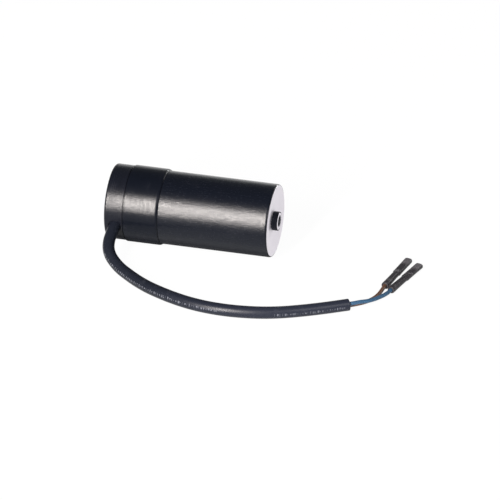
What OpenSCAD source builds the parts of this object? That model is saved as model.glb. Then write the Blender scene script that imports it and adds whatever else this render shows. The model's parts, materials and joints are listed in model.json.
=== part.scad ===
// Motor start capacitor lying on its side, with its two-core lead and push-on terminals.
// Millimetres. +X runs along the can towards the boss on its base, +Z is up, and z = 0 is the table.
// The origin is under the middle of the capacitor, on the table.

/* [Can] */
// Outside diameter of the bare can
can_d = 39.2; // [36:0.2:44]
// Length of the can from its rolled rim to the dished face of its base
can_len = 78.6; // [70:0.2:110]
// Thickness of the can's wall
can_wall = 0.6; // [0.4:0.1:1]
// Thickness of the can's base
base_t = 1.2; // [0.8:0.1:2]
// Radius of the bare edge round the base
base_edge_r = 1; // [0.6:0.1:1.6]
// Height of the base's rim above its dished face
dish_h = 1.1; // [0.4:0.1:1.6]
// Width of the flat land inside the rim's rounded edge
dish_land = 0.4; // [0.2:0.1:1]
// Width of the flat ring round the boss, inside the dish
dish_flat = 2; // [1:0.5:4]
// Width of the rim that is rolled in over the seal
rim_lip = 2.8; // [1.6:0.1:4]
// Radius of the groove whose bead carries the lid
bead_r = 1.2; // [0.8:0.1:1.6]

/* [Base boss] */
// Diameter of the bare boss
boss_d = 9.4; // [8:0.2:14]
// Height of the boss above the dished face
boss_h = 3.3; // [2:0.1:8]
// Wall diameter of the threaded hole
thread_d = 5; // [4:0.1:6.5]
// Depth of the threaded hole
thread_depth = 5; // [3.5:0.1:5.5]
// Countersink at the mouth of the threaded hole
thread_chamfer = 0.5; // [0.2:0.1:0.8]
// Height of the thick pad inside the base, under the hole
pad_h = 1.4; // [1:0.1:3]
// Width of metal round the hole in that pad
pad_margin = 3.5; // [2:0.1:5]
// Wall of the collar round the boss
collar_t = 0.3; // [0.2:0.1:1]
// Bare metal left above the collar
collar_show = 0.3; // [0.1:0.1:1]

/* [Sleeve] */
// Thickness of the shrunk sleeve
sleeve_t = 0.4; // [0.4:0.1:1]
// Thickness that the cap's skirt squeezes out of the sleeve
sleeve_squeeze = 0.25; // [0.25:0.01:0.3]
// Angle that the sleeve follows round the edge of the base
sleeve_wrap = 35; // [10:1:60]

/* [End cap] */
// Height of the crown
crown_h = 10.4; // [9.5:0.1:16]
// Radial step from the skirt down to the crown
crown_step = 0.45; // [0.2:0.05:0.8]
// Thickness of the crown's end wall
cap_end_t = 1.4; // [1:0.1:1.6]
// Thickness of the crown's side wall
crown_wall = 1.4; // [1:0.1:1.8]
// Radius of the crown's outer edge
crown_edge_r = 1; // [0.4:0.1:1.2]
// Length of the skirt
skirt_h = 19; // [14:0.5:26]
// Wall of the skirt
skirt_wall = 1; // [0.8:0.05:1.6]
// Radius of the skirt's free rim
rim_edge_r = 0.65; // [0.3:0.05:0.7]
// Thickness of the shoulder that stops the can
shoulder_t = 1; // [0.8:0.1:2]
// Width and depth of the groove between crown and skirt
part_groove = 0.5; // [0.2:0.1:0.7]

/* [Lid and seal] */
// Thickness of the lid
lid_t = 3; // [2:0.1:5]
// Thickness of the rubber seal
seal_t = 1.5; // [1:0.1:3]
// Diameter of the vent plug's stem
vent_d = 5; // [4:0.1:6]
// Width of the lips that hold the vent plug
vent_lip = 1; // [0.6:0.1:1.4]

/* [Terminals on the lid] */
// Width of a tag's blade
tag_w = 6.3; // [4.8:0.1:6.3]
// Thickness of a tag
tag_t = 0.8; // [0.5:0.1:1]
// Height of a tag's blade above the lid
tag_h = 8.5; // [7:0.1:9]
// Distance of the tags to the side of the lid's middle
tag_side = 6; // [4:0.5:7]
// Distance of the rivets above and below the lid's middle
rivet_rise = 6.5; // [6:0.1:7]
// Diameter of a rivet's shank
rivet_d = 3; // [2.4:0.1:3.4]
// Diameter of a rivet's head
rivet_head_d = 4.8; // [4:0.1:5.2]
// Height of a rivet's head
rivet_head_h = 0.8; // [0.5:0.1:1]
// Thickness of a foil tab
foil_t = 0.3; // [0.2:0.05:0.5]
// Width of a foil tab
foil_w = 5; // [4.8:0.1:6]

/* [Receptacles] */
// Sheet thickness of a receptacle's box
box_wall = 1.1; // [0.6:0.1:1.2]
// Height of a receptacle's box
box_h = 7; // [5:0.1:7.2]
// Length of the barrel that grips the core
barrel_len = 4.5; // [3.5:0.1:5]
// Wall of the barrel
barrel_wall = 0.6; // [0.4:0.1:0.8]
// Depth of the core in the barrel
barrel_grip = 2.5; // [1.5:0.1:3]

/* [Winding] */
// Thickness of the insulating liner
liner_t = 0.5; // [0.2:0.1:1]
// Thickness of the insulating disc under the winding
disc_t = 1.5; // [1.4:0.1:4]
// Diameter of the hole left by the winding mandrel
mandrel_d = 6; // [4:0.5:10]
// Room between the bead and the winding
winding_room = 1; // [0.5:0.1:3]

/* [Lead] */
// Diameter of the cable's jacket
cable_d = 6.8; // [6:0.1:6.8]
// Diameter of each core
core_d = 2.1; // [1.8:0.1:2.1]
// Distance between the middles of the two cores in the jacket
core_pitch = 2.5; // [2.3:0.1:2.8]
// Thickness of the tie's strap
tie_t = 0.8; // [0.5:0.1:0.8]
// Width of the tie's strap
tie_w = 2.4; // [1.8:0.1:3]
// Length of each side of the tie's head
tie_head = 3.6; // [3:0.1:4]

/* [Push-on terminals] */
// Length of a terminal sleeve
tip_len = 31.5; // [28:0.5:36]
// Length that a terminal sleeve laps over its core
tip_lap = 3; // [2:0.1:3]
// Diameter of the round grip at the core's end
grip_d = 4; // [3.8:0.1:4]
// Length of the round grip
grip_len = 10; // [8:0.5:11]
// Length of the taper from the grip to the waist
taper_len = 3.5; // [2:0.5:5]
// Diameter of the waist
waist_d = 3.4; // [3.3:0.1:3.7]
// Length of the flat oval front
front_len = 13; // [11:0.5:14]
// Width of the flat oval front
front_w = 4.4; // [4.3:0.1:5]
// Height of the flat oval front
front_h = 2.8; // [2.7:0.1:3.2]
// Diameter of a crimped barrel
crimp_d = 2.6; // [2.4:0.1:2.6]
// Length of a crimped barrel
crimp_len = 9; // [7:0.5:10]
// Width of the contact's box
contact_w = 3.2; // [3:0.1:3.2]
// Height of the contact's box
contact_h = 1.6; // [1.4:0.1:1.6]
// Sheet thickness of the contact
contact_t = 0.3; // [0.2:0.05:0.35]
// Thickness of the wall behind the contact's box
contact_back = 2; // [1:0.1:3]

/* [Fits] */
// Radial clearance between the cap's skirt and the sleeve
cap_clear = 0.1; // [0.05:0.05:0.2]
// Radial clearance between the cable and its hole
cable_clear = 0.15; // [0.1:0.05:0.2]
// Clearance of the pieces stacked inside the can
stack_clear = 0.05; // [0.02:0.01:0.1]
// Clearance of a tag or core in its receptacle, and of a contact in its sleeve
plug_clear = 0.05; // [0.02:0.01:0.06]

/* [Hidden] */
$fn = 96;

// Radii of the shells, from the can outwards
can_r = can_d / 2;
sleeve_r = can_r + sleeve_t;
squeezed_r = sleeve_r - sleeve_squeeze;
skirt_bore_r = squeezed_r + cap_clear;
skirt_r = skirt_bore_r + skirt_wall;
crown_r = skirt_r - crown_step;
crown_bore_r = crown_r - crown_wall;
can_bore_r = can_r - can_wall;
rim_bore_r = can_r - rim_lip;

// Stations along the axis, counted from the outer face of the crown
can_s = crown_h + shoulder_t;
cap_h = crown_h + skirt_h;
seal_s = can_s + can_wall;
lid_s = seal_s + seal_t;
lid_end_s = lid_s + lid_t;
bead_s = lid_end_s + bead_r + can_wall + stack_clear;
winding_s = bead_s + bead_r + can_wall + winding_room;
base_s = can_s + can_len;
rim_s = base_s + dish_h;
disc_s = base_s - base_t - disc_t;
boss_s = base_s + boss_h;
squeeze_end_s = cap_h + cap_clear;

// Place of the crown's outer face and of the can's axis
crown_x = -boss_s / 2;
axis_z = skirt_r;

// How far a cutter runs past what it cuts
cut = 1;

// Corners of the cable's and a core's tube
cable_sides = 12;
core_sides = 8;

// Routes below are laid for a crown of this place and radius, and keep their distance from another
laid_crown_x = -46.65;
laid_crown_r = 20.4;
function laid(route) = [for (p = route) p + [crown_x - laid_crown_x, laid_crown_r - crown_r, 0]];

// Route of the cable: out of the crown, down to the table and round in front of the can
cable_route = laid([
    [-40.7, -13.5, 17.7],
    [-40.7, -20, 16.2],
    [-41, -25, 14.5],
    [-41, -30, 12.4],
    [-40, -34.5, 10.2],
    [-37.7, -38.3, 8.1],
    [-34.5, -41.5, 6.4],
    [-30.3, -45, 5],
    [-25.5, -48.2, 4],
    [-20, -52.2, 3.5],
    [-12, -57.7, 3.4],
    [-4, -62, 3.4],
    [5, -66, 3.4],
    [15, -69.3, 3.4],
    [25, -71.2, 3.4],
    [35, -71.8, 3.4],
    [45, -71.2, 3.4],
    [55, -69.5, 3.4],
    [65, -66.4, 3.4],
    [75, -62, 3.4],
    [85, -56.8, 3.4],
    [97.8, -49.35, 3.4]
]);

// Routes of the two cores, from the end of the jacket to their crimps
blue_route = laid([
    [98.2125, -50.0587, 4.345],
    [99.509, -49.3041, 4.345],
    [103.1, -46.35, 4.1],
    [107, -42.7, 3.4],
    [109.5, -39.2, 2.9],
    [111.4, -35.8, 2.5],
    [113.1, -32.4, 2.2],
    [114.3, -29.3, 2.05],
    [115.15, -26, 2],
    [115.96, -23.11, 2]
]);
brown_route = laid([
    [97.3875, -48.6413, 2.455],
    [98.684, -47.8867, 2.455],
    [102.65, -44.7, 2.3],
    [106.4, -40.3, 2],
    [108.6, -35.9, 1.8],
    [109.85, -31.4, 1.75],
    [110.45, -26.8, 1.85],
    [110.95, -22.3, 2],
    [111.47, -19.35, 2]
]);

// Vector of length one, the same way as another
function unit(v) = v / norm(v);

// Heading of a route at one of its points, the mean of the legs that meet there
function heading(route, i) =
    let (
        last = len(route) - 1,
        before = unit(route[max(i, 1)] - route[max(i, 1) - 1]),
        after = unit(route[min(i, last - 1) + 1] - route[min(i, last - 1)])
    )
    unit(before + after);

// Ring of points round a route, with one point straight below
function ring(route, i, radius, sides) =
    let (
        along = heading(route, i),
        across = unit(cross(along, [0, 0, 1])),
        up = cross(across, along)
    )
    [for (k = [0 : sides - 1])
        let (a = 360 * k / sides - 90)
        route[i] + radius * (cos(a) * across + sin(a) * up)];

// Closed tube swept along a route
module tube(route, d, sides) {
    last = len(route) - 1;
    points = [for (i = [0 : last]) each ring(route, i, d / 2, sides)];
    walls = [
        for (i = [0 : last - 1], k = [0 : sides - 1])
            let (
                here = i * sides + k,
                beside = i * sides + (k + 1) % sides
            )
            each [[here, beside, here + sides], [beside, beside + sides, here + sides]]
    ];
    front = [for (k = [0 : sides - 1]) last * sides + k];
    back = [for (k = [sides - 1 : -1 : 0]) k];
    polyhedron(points = points, faces = concat(walls, [front, back]));
}

// Children in the can's own place: x counts from the crown's face, y and z from the axis
module in_can() {
    translate([crown_x, 0, axis_z]) children();
}

// Outline of radius and station, turned round the can's axis
module turned() {
    in_can() rotate([0, 90, 0]) rotate_extrude() children();
}

// Rod along the can's axis between two stations
module axial_rod(d, from, to) {
    translate([from, 0, 0]) rotate([0, 90, 0]) cylinder(d = d, h = to - from);
}

// Children turned so that their z axis runs from one point to another
module along_leg(from, to) {
    leg = to - from;
    translate(from) rotate([0, acos(leg[2] / norm(leg)), atan2(leg[1], leg[0])]) children();
}

// Box between two corners
module box(low, high) {
    translate(low) cube(high - low);
}

// Rectangle between two radii and two stations
module band(r0, r1, s0, s1) {
    translate([r0, s0]) square([r1 - r0, s1 - s0]);
}

// What is cut off an outer corner to round it; side is -1 at a near end and 1 at a far end
module corner_off(r, s, radius, side) {
    centre = [r - radius, s - side * radius];
    difference() {
        band(centre[0], r + cut, min(centre[1], s + side * cut), max(centre[1], s + side * cut));
        translate(centre) circle(radius);
    }
}

// Drawn can with its beaded groove, rolled rim, dished base and threaded boss
module can() {
    color("gainsboro") turned() difference() {
        union() {
            difference() {
                band(0, can_r, can_s, rim_s);
                band(-cut, can_bore_r, seal_s, base_s - base_t);
                band(-cut, rim_bore_r, can_s - cut, seal_s + cut);
                corner_off(can_r, rim_s, base_edge_r, 1);
                polygon([
                    [-cut, base_s],
                    [boss_d / 2 + dish_flat, base_s],
                    [can_r - base_edge_r - dish_land, rim_s],
                    [can_r - base_edge_r - dish_land, rim_s + cut],
                    [-cut, rim_s + cut]
                ]);
            }
            intersection() {
                translate([can_r, bead_s]) circle(bead_r + can_wall);
                band(0, can_r, can_s, base_s);
            }
            band(0, boss_d / 2, base_s - base_t, boss_s);
            band(0, thread_d / 2 + pad_margin, base_s - base_t - pad_h, base_s - base_t);
        }
        translate([can_r, bead_s]) circle(bead_r);
        band(-cut, thread_d / 2, boss_s - thread_depth, boss_s + cut);
        polygon([
            [0, boss_s - thread_chamfer],
            [thread_d / 2, boss_s - thread_chamfer],
            [thread_d / 2 + thread_chamfer, boss_s],
            [thread_d / 2 + thread_chamfer, boss_s + cut],
            [0, boss_s + cut]
        ]);
    }
}

// Sleeve shrunk over the can and a little way round the edge of its base
module can_sleeve() {
    edge_s = rim_s - base_edge_r;
    edge_r = can_r - base_edge_r;
    color("#1c1e24") turned() {
        band(can_r, squeezed_r, bead_s + bead_r, squeeze_end_s);
        band(can_r, sleeve_r, squeeze_end_s, edge_s);
        intersection() {
            difference() {
                translate([edge_r, edge_s]) circle(base_edge_r + sleeve_t);
                translate([edge_r, edge_s]) circle(base_edge_r);
            }
            translate([edge_r, edge_s]) polygon([
                [0, 0],
                [can_r, 0],
                [can_r, can_r * tan(sleeve_wrap)]
            ]);
        }
    }
}

// Black collar round the boss
module boss_collar() {
    color("#202226") turned()
        band(boss_d / 2, boss_d / 2 + collar_t, base_s, boss_s - collar_show);
}

// Moulded cap: a crown that holds the terminals and a skirt that laps over the can
module end_cap() {
    color("#222429") difference() {
        turned() difference() {
            union() {
                band(0, crown_r, 0, crown_h);
                band(0, skirt_r, crown_h, cap_h);
            }
            band(-cut, crown_bore_r, cap_end_t, can_s + cut);
            band(-cut, skirt_bore_r, can_s, cap_h + cut);
            band(crown_r - part_groove, crown_r + cut, crown_h - part_groove, crown_h);
            corner_off(crown_r, 0, crown_edge_r, -1);
            corner_off(skirt_r, cap_h, rim_edge_r, 1);
        }
        along_leg(cable_route[0], cable_route[1])
            cylinder(d = cable_d + 2 * cable_clear, h = crown_r);
    }
}

// Lid that closes the can, drilled for its rivets and vent
module lid() {
    color("saddlebrown") in_can() difference() {
        axial_rod(2 * (can_bore_r - stack_clear), lid_s, lid_end_s);
        axial_rod(vent_d + 2 * stack_clear, lid_s - cut, lid_end_s + cut);
        for (side = [-1, 1])
            translate([0, tag_side, side * rivet_rise])
                axial_rod(rivet_d + 2 * stack_clear, lid_s - cut, lid_end_s + cut);
    }
}

// Rubber ring pressed between the lid and the rolled rim
module seal_ring() {
    color("dimgray") turned() band(rim_bore_r, can_bore_r - stack_clear, seal_s, lid_s);
}

// Relief plug with a lip on each face of the lid
module vent_plug() {
    color("black") in_can() {
        axial_rod(vent_d, lid_s - vent_lip, lid_end_s + vent_lip);
        axial_rod(vent_d + 2 * vent_lip, lid_s - vent_lip, lid_s);
        axial_rod(vent_d + 2 * vent_lip, lid_end_s, lid_end_s + vent_lip);
    }
}

// Two rivets that clamp a tag, the lid and a foil tab
module lid_rivets() {
    tag_face_s = lid_s - tag_t;
    foil_face_s = lid_end_s + foil_t;
    color("silver") in_can() for (side = [-1, 1]) translate([0, tag_side, side * rivet_rise]) {
        axial_rod(rivet_d, tag_face_s - rivet_head_h, foil_face_s + rivet_head_h);
        axial_rod(rivet_head_d, tag_face_s - rivet_head_h, tag_face_s);
        axial_rod(rivet_head_d, foil_face_s, foil_face_s + rivet_head_h);
    }
}

// Height of the middle of a tag's blade above the axis, clear of the rivet's head
blade_rise = rivet_rise + rivet_head_d / 2 + box_wall + plug_clear + tag_t / 2;

// Tag: a foot under the rivet and a blade that stands on the lid
module tag(side) {
    color("gold") in_can() mirror([0, 0, side > 0 ? 0 : 1]) difference() {
        union() {
            box([lid_s - tag_t, tag_side - tag_w / 2, rivet_rise - rivet_head_d / 2],
                [lid_s, tag_side + tag_w / 2, blade_rise + tag_t / 2]);
            box([lid_s - tag_h, tag_side - tag_w / 2, blade_rise - tag_t / 2],
                [lid_s, tag_side + tag_w / 2, blade_rise + tag_t / 2]);
        }
        translate([0, tag_side, rivet_rise])
            axial_rod(rivet_d + 2 * stack_clear, lid_s - tag_t - cut, lid_s + cut);
    }
}

// Foil tab: a foot under the rivet and a leg down to the winding
module foil_tab(side) {
    leg_rise = rivet_rise + rivet_head_d / 2 + stack_clear;
    color("lightgray") in_can() mirror([0, 0, side > 0 ? 0 : 1]) difference() {
        union() {
            box([lid_end_s, tag_side - foil_w / 2, rivet_rise - rivet_head_d / 2],
                [lid_end_s + foil_t, tag_side + foil_w / 2, leg_rise + foil_t]);
            box([lid_end_s, tag_side - foil_w / 2, leg_rise],
                [winding_s, tag_side + foil_w / 2, leg_rise + foil_t]);
        }
        translate([0, tag_side, rivet_rise])
            axial_rod(rivet_d + 2 * stack_clear, lid_end_s - cut, lid_end_s + foil_t + cut);
    }
}

// Roll of foil and paper
module wound_element() {
    color("wheat") turned()
        band(mandrel_d / 2, can_bore_r - liner_t - 2 * stack_clear, winding_s, disc_s);
}

// Insulating liner between the winding and the can
module can_liner() {
    color("burlywood") turned()
        band(can_bore_r - stack_clear - liner_t, can_bore_r - stack_clear, winding_s, disc_s);
}

// Insulating disc under the winding, open round the pad
module base_disc() {
    color("tan") turned()
        band(thread_d / 2 + pad_margin + stack_clear, can_bore_r - stack_clear, disc_s, disc_s + disc_t);
}

// Stations and places of a receptacle: its box over the blade and its barrel to the side
box_s = lid_s - tag_h - plug_clear;
barrel_s = box_s + box_h / 2;
barrel_d = core_d + 2 * (plug_clear + barrel_wall);
box_half_w = tag_w / 2 + plug_clear + box_wall / 2;
barrel_mouth_y = tag_side - box_half_w - barrel_len;

// Flag receptacle pushed on a tag, with its barrel pointing to the cable
module receptacle(side) {
    half_t = tag_t / 2 + plug_clear;
    color("silver") in_can() mirror([0, 0, side > 0 ? 0 : 1]) difference() {
        union() {
            box([box_s - box_wall, tag_side - box_half_w, blade_rise - half_t - box_wall],
                [box_s + box_h - box_wall, tag_side + box_half_w, blade_rise + half_t + box_wall]);
            translate([barrel_s, barrel_mouth_y, blade_rise]) rotate([-90, 0, 0])
                cylinder(d = barrel_d, h = barrel_len);
        }
        box([box_s, tag_side - tag_w / 2 - plug_clear, blade_rise - half_t],
            [box_s + box_h, tag_side + tag_w / 2 + plug_clear, blade_rise + half_t]);
        translate([barrel_s, barrel_mouth_y - cut, blade_rise]) rotate([-90, 0, 0])
            cylinder(d = core_d + 2 * plug_clear, h = barrel_grip + cut);
    }
}

// Route of a core inside the cap, from the jacket's inner end to its barrel
lead_steps = 6;
lead_straight = 2;
function ease(t) = t * t * (3 - 2 * t);
function lead_route(side) =
    let (
        back = unit(cable_route[0] - cable_route[1]),
        aside = unit(cross(back, [-1, 0, 0])),
        start = cable_route[0] + side * core_pitch / 2 * aside,
        from = start + lead_straight * back,
        mouth = [crown_x + barrel_s, barrel_mouth_y, axis_z + side * blade_rise],
        to = mouth - [0, lead_straight, 0]
    )
    concat(
        [start],
        [for (i = [0 : lead_steps])
            let (
                gap = to - from,
                t = i / lead_steps
            )
            from + [gap[0] * ease(t), gap[1] * t, gap[2] * ease(t)]],
        [mouth + [0, barrel_grip, 0]]
    );

// Core inside the cap
module lead(side) {
    tube(lead_route(side), core_d, core_sides);
}

// Tie round the jacket, just inside the crown's wall
module cable_tie() {
    bore_r = cable_d / 2 + stack_clear;
    color("ivory") along_leg(cable_route[0], cable_route[1]) difference() {
        union() {
            cylinder(r = bore_r + tie_t, h = tie_w);
            box([bore_r, -tie_head / 2, 0], [bore_r + tie_head, tie_head / 2, tie_w]);
        }
        translate([0, 0, -cut]) cylinder(r = bore_r, h = tie_w + 2 * cut);
    }
}

// Jacket of the cable
module cable_jacket() {
    color("#24262d") tube(cable_route, cable_d, cable_sides);
}

// Children at a core's crimp, with x along its last leg
module at_crimp(route) {
    end = route[len(route) - 1];
    leg = end - route[len(route) - 2];
    translate(end) rotate([0, 0, atan2(leg[1], leg[0])]) children();
}

// Flat oval of a width and a height, stretched along x between two places
module oval_bar(w, h, from, to) {
    translate([from, 0, 0]) rotate([90, 0, 90]) linear_extrude(to - from) {
        square([w - h, h], center = true);
        for (side = [-1, 1]) translate([side * (w - h) / 2, 0]) circle(d = h);
    }
}

// Places along a terminal, counted from the end of its crimp
grip_end = grip_len - tip_lap;
waist_end = tip_len - tip_lap - front_len;
tip_end = tip_len - tip_lap;
box_start = waist_end + contact_t;

// Insulating sleeve of a push-on terminal
module terminal_sleeve(route) {
    at_crimp(route) difference() {
        union() {
            axial_rod(grip_d, -tip_lap, grip_end);
            translate([grip_end, 0, 0]) rotate([0, 90, 0])
                cylinder(d1 = grip_d, d2 = waist_d, h = taper_len);
            axial_rod(waist_d, grip_end + taper_len, waist_end);
            oval_bar(front_w, front_h, waist_end, tip_end);
        }
        axial_rod(core_d + 2 * plug_clear, -tip_lap - cut, cut);
        axial_rod(crimp_d + 2 * plug_clear, 0, box_start);
        box([box_start, -contact_w / 2 - plug_clear, -contact_h / 2 - plug_clear],
            [tip_end + cut, contact_w / 2 + plug_clear, contact_h / 2 + plug_clear]);
    }
}

// Crimped contact: a barrel, a neck and a box that takes a blade
module contact(route) {
    inner_w = contact_w - 2 * contact_t;
    inner_h = contact_h - 2 * contact_t;
    contact_end = tip_end - 2 * contact_t;
    color("khaki") at_crimp(route) difference() {
        union() {
            axial_rod(crimp_d, 0, crimp_len);
            box([0, -inner_h / 2, -inner_h / 2], [box_start + contact_back, inner_h / 2, inner_h / 2]);
            box([box_start, -contact_w / 2, -contact_h / 2], [contact_end, contact_w / 2, contact_h / 2]);
        }
        box([box_start + contact_back, -inner_w / 2, -inner_h / 2],
            [contact_end + cut, inner_w / 2, inner_h / 2]);
    }
}

can();
can_sleeve();
boss_collar();
end_cap();
lid();
seal_ring();
vent_plug();
lid_rivets();
tag(1);  // upper_tag
tag(-1);  // lower_tag
foil_tab(1);  // upper_foil_tab
foil_tab(-1);  // lower_foil_tab
wound_element();
can_liner();
base_disc();
receptacle(1);  // upper_receptacle
receptacle(-1);  // lower_receptacle
color("sienna") lead(1);  // brown_lead
color("steelblue") lead(-1);  // blue_lead
cable_tie();
cable_jacket();
color("steelblue") tube(blue_route, core_d, core_sides);  // blue_core
color("sienna") tube(brown_route, core_d, core_sides);  // brown_core
contact(blue_route);  // blue_contact
contact(brown_route);  // brown_contact
color("#3a3b40") terminal_sleeve(blue_route);  // blue_terminal_sleeve
color("#3a3b40") terminal_sleeve(brown_route);  // brown_terminal_sleeve
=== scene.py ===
"""Dressed model of a motor start capacitor: sleeved can, moulded cap, lead and push-on terminals."""
import json
import logging
import math
from dataclasses import dataclass
from enum import Enum
from functools import cache
from typing import Sequence

import bmesh
import bpy
from mathutils import Matrix, Vector


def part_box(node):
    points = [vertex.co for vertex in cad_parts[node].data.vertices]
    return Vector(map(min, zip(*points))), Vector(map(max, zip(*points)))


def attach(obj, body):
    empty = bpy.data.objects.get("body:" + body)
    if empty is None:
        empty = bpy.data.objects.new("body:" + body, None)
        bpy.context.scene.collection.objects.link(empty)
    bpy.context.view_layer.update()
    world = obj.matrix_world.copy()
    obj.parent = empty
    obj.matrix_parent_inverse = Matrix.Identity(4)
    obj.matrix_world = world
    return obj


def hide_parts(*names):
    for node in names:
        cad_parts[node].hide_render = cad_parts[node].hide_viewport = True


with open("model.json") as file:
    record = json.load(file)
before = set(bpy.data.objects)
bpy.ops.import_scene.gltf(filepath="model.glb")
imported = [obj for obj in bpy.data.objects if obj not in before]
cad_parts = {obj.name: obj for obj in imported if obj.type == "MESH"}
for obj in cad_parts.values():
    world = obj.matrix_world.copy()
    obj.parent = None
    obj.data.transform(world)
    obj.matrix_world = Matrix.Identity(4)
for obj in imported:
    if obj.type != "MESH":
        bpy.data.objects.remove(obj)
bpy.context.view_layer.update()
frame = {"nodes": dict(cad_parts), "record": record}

LOG = logging.getLogger("capacitor")
ROOT = "root"
MM = 0.001

Colour = tuple[float, float, float, float]
Point = tuple[float, float, float]
Range = tuple[float, float]
Outline = list[tuple[float, float]]
Socket = bpy.types.NodeSocket
Material = bpy.types.Material
Object = bpy.types.Object

# Ranges that values of nodes are mapped from: the whole mask, and where most of a noise lies
UNIT: Range = (0.0, 1.0)
NOISE_SPREAD: Range = (0.3, 0.7)

# Meshes: points this close are one, and edges that turn more than this stay sharp
MERGE = 1e-7
SHARP = math.radians(28)

# Radius of the ring that outlines are turned on
GUIDE_R = 10 * MM


# Node boards and shared effects

def screen(red: int, green: int, blue: int) -> Colour:
    """Turn a colour on the screen's scale of 0 to 255 into Blender's linear scale.

    Args:
        red: red part.
        green: green part.
        blue: blue part.

    Returns:
        The linear colour, opaque.
    """
    parts = [part / 255 for part in (red, green, blue)]
    linear = [p / 12.92 if p <= 0.04045 else ((p + 0.055) / 1.055) ** 2.4 for p in parts]
    return (*linear, 1.0)


class Board:
    """Adds nodes to one node tree, fills their inputs and links them."""

    def __init__(self, tree: bpy.types.NodeTree) -> None:
        """Take the tree to work on."""
        self.tree = tree

    def fill(self, node: bpy.types.Node, inputs: dict) -> None:
        """Link sockets to a node's inputs, or set the inputs to plain values.

        Args:
            node: the node.
            inputs: sockets or values, by the input's name or number.
        """
        for key, value in inputs.items():
            if isinstance(value, Socket):
                self.tree.links.new(value, node.inputs[key])
            else:
                node.inputs[key].default_value = value

    def add(self, kind: str, inputs: dict | None = None, **settings: object) -> bpy.types.Node:
        """Add a node.

        Args:
            kind: Blender's name of the node type.
            inputs: sockets or values for its inputs, by name or number.
            settings: properties of the node.

        Returns:
            The new node.
        """
        node = self.tree.nodes.new(kind)
        for name, value in settings.items():
            setattr(node, name, value)
        self.fill(node, inputs or {})
        return node

    def out(self, kind: str, inputs: dict | None = None, **settings: object) -> Socket:
        """Add a node and return its first output."""
        return self.add(kind, inputs, **settings).outputs[0]

    def math(self, operation: str, *values: object) -> Socket:
        """Add a Math node and return its result."""
        return self.out("ShaderNodeMath", dict(enumerate(values)), operation=operation)

    def times(self, one: object, other: object) -> Socket:
        """Multiply two values."""
        return self.math("MULTIPLY", one, other)

    def mix(self, share: float, one: Socket, other: Socket) -> Socket:
        """Mix two values by a fixed share of the first."""
        return self.math("MULTIPLY_ADD", one, share, self.times(other, 1 - share))

    def span(self, value: object, source: Range, target: Range) -> Socket:
        """Map a value from one range to another, held at its ends."""
        ends = {"From Min": source[0], "From Max": source[1], "To Min": target[0], "To Max": target[1]}
        return self.out("ShaderNodeMapRange", {"Value": value, **ends})

    def blend(self, factor: object, low: object, high: object) -> Socket:
        """Mix two colours and return the mix."""
        return self.add("ShaderNodeMix", {0: factor, 6: low, 7: high}, data_type="RGBA").outputs[2]

    def noise(self, vector: Socket, scale: object, detail: float) -> Socket:
        """Add a noise texture and return its value."""
        return self.out("ShaderNodeTexNoise", {"Vector": vector, "Scale": scale, "Detail": detail})

    def place(self) -> Socket:
        """Return the place on the surface in the object's own frame."""
        return self.add("ShaderNodeTexCoord").outputs["Object"]

    def split(self, vector: Socket) -> bpy.types.NodeOutputs:
        """Split a vector into its three parts."""
        return self.add("ShaderNodeSeparateXYZ", {0: vector}).outputs

    def attribute(self, name: str) -> Socket:
        """Read a number that the mesh carries."""
        return self.add("ShaderNodeAttribute", attribute_name=name).outputs["Fac"]

    def bump(self, height: Socket) -> Socket:
        """Turn a height in metres into a normal."""
        return self.out("ShaderNodeBump", {"Height": height, "Distance": 1.0})

    def inputs(self, **kinds: str) -> bpy.types.NodeOutputs:
        """Make the tree's named inputs.

        Args:
            kinds: kinds of socket, by the input's name with underscores for spaces.

        Returns:
            The input node's sockets.
        """
        for name, kind in kinds.items():
            label = name.replace("_", " ")
            self.tree.interface.new_socket(label, in_out="INPUT", socket_type="NodeSocket" + kind)
        return self.add("NodeGroupInput").outputs


class Effect(Enum):
    """Shader node groups that several finishes share."""

    STREAKS = "Drawn streaks"
    GRAIN = "Fine grain"
    SCUFFS_AND_HIGHLIGHTS = "Scuffs and painted highlights"


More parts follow.
